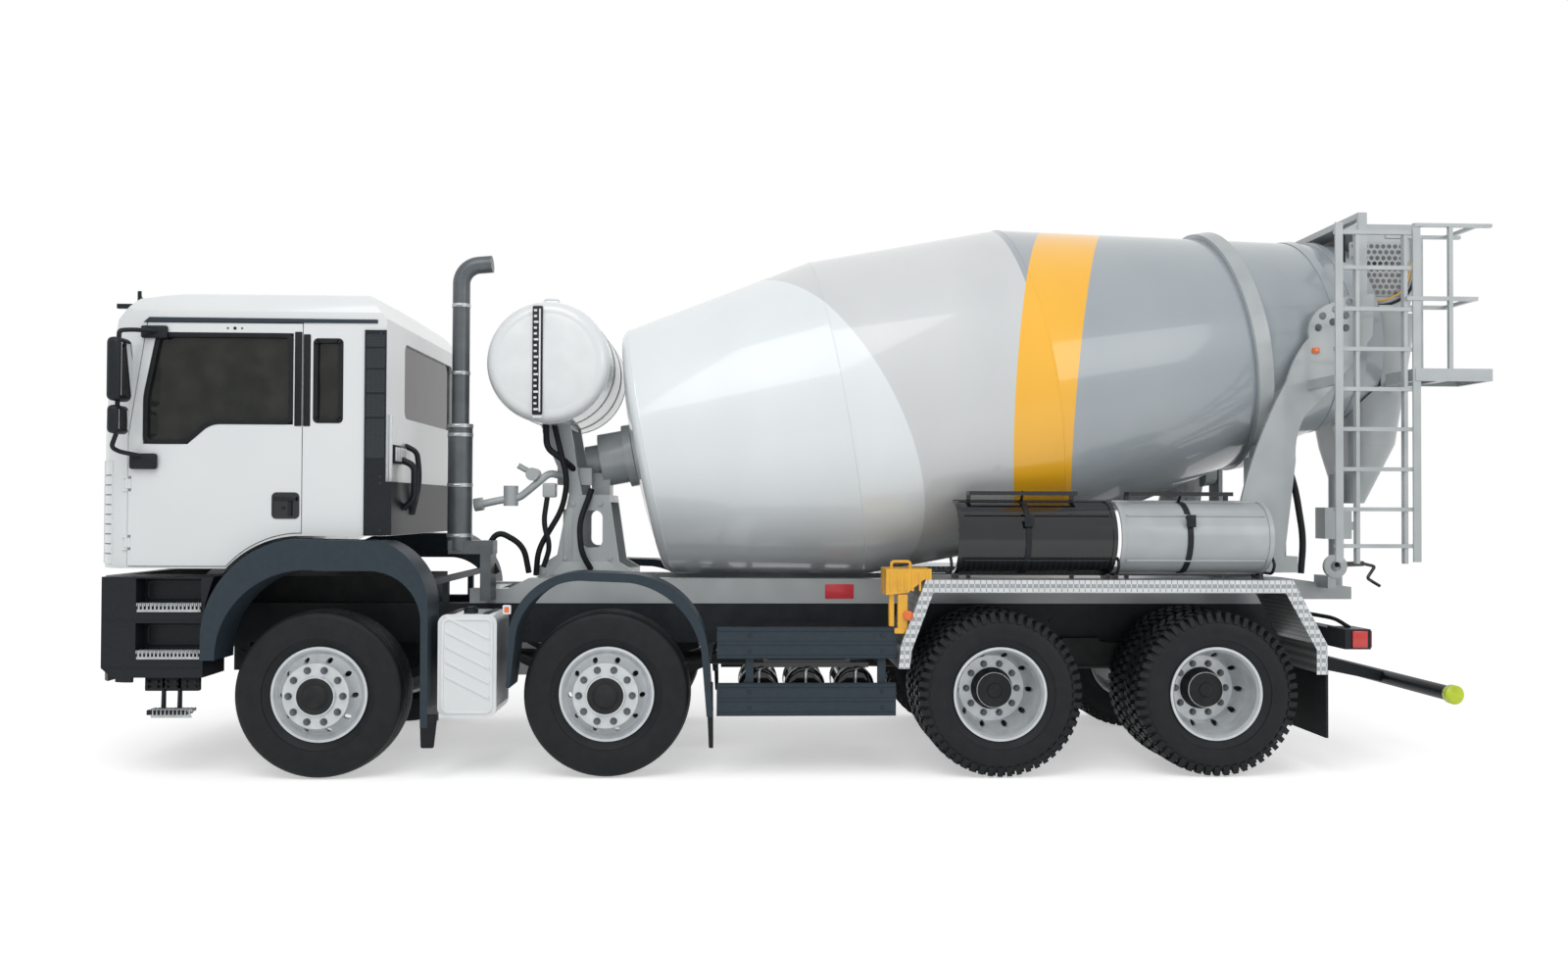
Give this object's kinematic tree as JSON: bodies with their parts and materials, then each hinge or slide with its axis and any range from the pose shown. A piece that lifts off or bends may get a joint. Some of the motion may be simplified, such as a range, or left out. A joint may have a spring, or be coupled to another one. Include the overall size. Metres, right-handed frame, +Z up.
{
  "type": "drum concrete mixer truck",
  "caption": "Cab-over heavy truck that carries and turns a tilted concrete drum, with steered front wheels, twin rear wheels, charge hopper, discharge hood and ladder.",
  "frame": {"origin": "on the ground, below the middle of the bounding box", "axes": "+X to the rear of the truck, -Y to its left side, +Z up"},
  "size_m": [8.98, 2.76, 3.7553],
  "materials": {
    "cab_white": "gloss",
    "frame_dark": "satin",
    "mixer_grey": "gloss",
    "drum_white": "gloss",
    "slate_plastic": "matt",
    "black_plastic": "satin",
    "flap_rubber": "matt",
    "tyre_rubber": "matt",
    "rim_silver": "satin",
    "tread_plate": "bright",
    "cast_dark": "matt",
    "pipe_grey": "satin",
    "tank_black": "gloss",
    "chute_black": "gloss",
    "chock_yellow": "gloss",
    "tinted_glass": "gloss",
    "seat_fabric": "matt"
  },
  "bodies": {
    "chassis": {"frame_rails": "frame_dark", "mixer_subframe": "mixer_grey", "engine_block": "cast_dark", "front_bumper": "black_plastic", "wheel_arches": "slate_plastic", "rear_mudguards": "tread_plate", "rear_mudflaps": "flap_rubber", "side_guards": "slate_plastic", "side_tanks": "cab_white", "air_tanks": "tank_black", "exhaust_stack": "pipe_grey", "water_tank": "drum_white", "front_pedestal": "mixer_grey", "drum_gearbox": "mixer_grey", "rear_pedestal": "mixer_grey", "charge_hopper": "mixer_grey", "discharge_hood": "mixer_grey", "rear_ladder": "mixer_grey", "black_chute": "chute_black", "grey_chute": "mixer_grey", "chute_rack": "chute_black", "rear_underrun": "black_plastic", "wheel_chocks": "chock_yellow", "front_axles": "cast_dark", "drive_axles": "cast_dark"},
    "cab": {"cab_shell": "cab_white", "cab_windows": "tinted_glass", "cab_trim": "black_plastic", "cab_interior": "black_plastic", "seats": "seat_fabric"},
    "left_door": {"left_door": "cab_white", "left_door_glass": "tinted_glass", "left_door_mirrors": "black_plastic"},
    "right_door": {"right_door": "cab_white", "right_door_glass": "tinted_glass", "right_door_mirrors": "black_plastic"},
    "drum": {"drum_shell": "drum_white", "roller_ring": "mixer_grey"},
    "first_left_knuckle": {"first_left_knuckle": "cast_dark"},
    "first_left_wheel": {"first_left_tyre": "tyre_rubber", "first_left_rim": "rim_silver"},
    "first_right_knuckle": {"first_right_knuckle": "cast_dark"},
    "first_right_wheel": {"first_right_tyre": "tyre_rubber", "first_right_rim": "rim_silver"},
    "second_left_knuckle": {"second_left_knuckle": "cast_dark"},
    "second_left_wheel": {"second_left_tyre": "tyre_rubber", "second_left_rim": "rim_silver"},
    "second_right_knuckle": {"second_right_knuckle": "cast_dark"},
    "second_right_wheel": {"second_right_tyre": "tyre_rubber", "second_right_rim": "rim_silver"},
    "third_left_wheel": {"third_left_tyres": "tyre_rubber", "third_left_rims": "rim_silver"},
    "third_right_wheel": {"third_right_tyres": "tyre_rubber", "third_right_rims": "rim_silver"},
    "fourth_left_wheel": {"fourth_left_tyres": "tyre_rubber", "fourth_left_rims": "rim_silver"},
    "fourth_right_wheel": {"fourth_right_tyres": "tyre_rubber", "fourth_right_rims": "rim_silver"}
  },
  "joints": [
    {"name": "cab_tilt", "type": "hinge", "parent": "chassis", "child": "cab", "pos_m": [-4.305, 0, 1], "axis": [0, -1, 0], "range_deg": [0, 50]},
    {"name": "left_door_hinge", "type": "hinge", "parent": "cab", "child": "left_door", "pos_m": [-4.238, -1.121, 1.665], "axis": [0, 0, -1], "range_deg": [0, 65]},
    {"name": "right_door_hinge", "type": "hinge", "parent": "cab", "child": "right_door", "pos_m": [-4.238, 1.121, 1.665], "axis": [0, 0, 1], "range_deg": [0, 65]},
    {"name": "drum_spin", "type": "hinge", "parent": "chassis", "child": "drum", "pos_m": [-1.069, 0, 2.111], "axis": [0.9835, 0, 0.181], "continuous": true},
    {"name": "first_left_steer", "type": "hinge", "parent": "chassis", "child": "first_left_knuckle", "pos_m": [-3.025, -0.915, 0.515], "axis": [0, 0, 1], "range_deg": [-35, 35]},
    {"name": "first_left_spin", "type": "hinge", "parent": "first_left_knuckle", "child": "first_left_wheel", "pos_m": [-3.025, -1.033, 0.53], "axis": [0, 1, 0], "continuous": true},
    {"name": "first_right_steer", "type": "hinge", "parent": "chassis", "child": "first_right_knuckle", "pos_m": [-3.025, 0.915, 0.515], "axis": [0, 0, 1], "range_deg": [-35, 35]},
    {"name": "first_right_spin", "type": "hinge", "parent": "first_right_knuckle", "child": "first_right_wheel", "pos_m": [-3.025, 1.033, 0.53], "axis": [0, 1, 0], "continuous": true},
    {"name": "second_left_steer", "type": "hinge", "parent": "chassis", "child": "second_left_knuckle", "pos_m": [-1.23, -0.915, 0.515], "axis": [0, 0, 1], "range_deg": [-23, 23]},
    {"name": "second_left_spin", "type": "hinge", "parent": "second_left_knuckle", "child": "second_left_wheel", "pos_m": [-1.23, -1.033, 0.53], "axis": [0, 1, 0], "continuous": true},
    {"name": "second_right_steer", "type": "hinge", "parent": "chassis", "child": "second_right_knuckle", "pos_m": [-1.23, 0.915, 0.515], "axis": [0, 0, 1], "range_deg": [-23, 23]},
    {"name": "second_right_spin", "type": "hinge", "parent": "second_right_knuckle", "child": "second_right_wheel", "pos_m": [-1.23, 1.033, 0.53], "axis": [0, 1, 0], "continuous": true},
    {"name": "third_left_spin", "type": "hinge", "parent": "chassis", "child": "third_left_wheel", "pos_m": [1.275, -0.902, 0.53], "axis": [0, 1, 0], "continuous": true},
    {"name": "third_right_spin", "type": "hinge", "parent": "chassis", "child": "third_right_wheel", "pos_m": [1.275, 0.902, 0.53], "axis": [0, 1, 0], "continuous": true},
    {"name": "fourth_left_spin", "type": "hinge", "parent": "chassis", "child": "fourth_left_wheel", "pos_m": [2.675, -0.902, 0.53], "axis": [0, 1, 0], "continuous": true},
    {"name": "fourth_right_spin", "type": "hinge", "parent": "chassis", "child": "fourth_right_wheel", "pos_m": [2.675, 0.902, 0.53], "axis": [0, 1, 0], "continuous": true}
  ],
  "couplings": [
    {"joint": "first_right_steer", "follows": "first_left_steer", "ratio": 1},
    {"joint": "second_left_steer", "follows": "first_left_steer", "ratio": 0.64},
    {"joint": "second_right_steer", "follows": "first_left_steer", "ratio": 0.64}
  ]
}
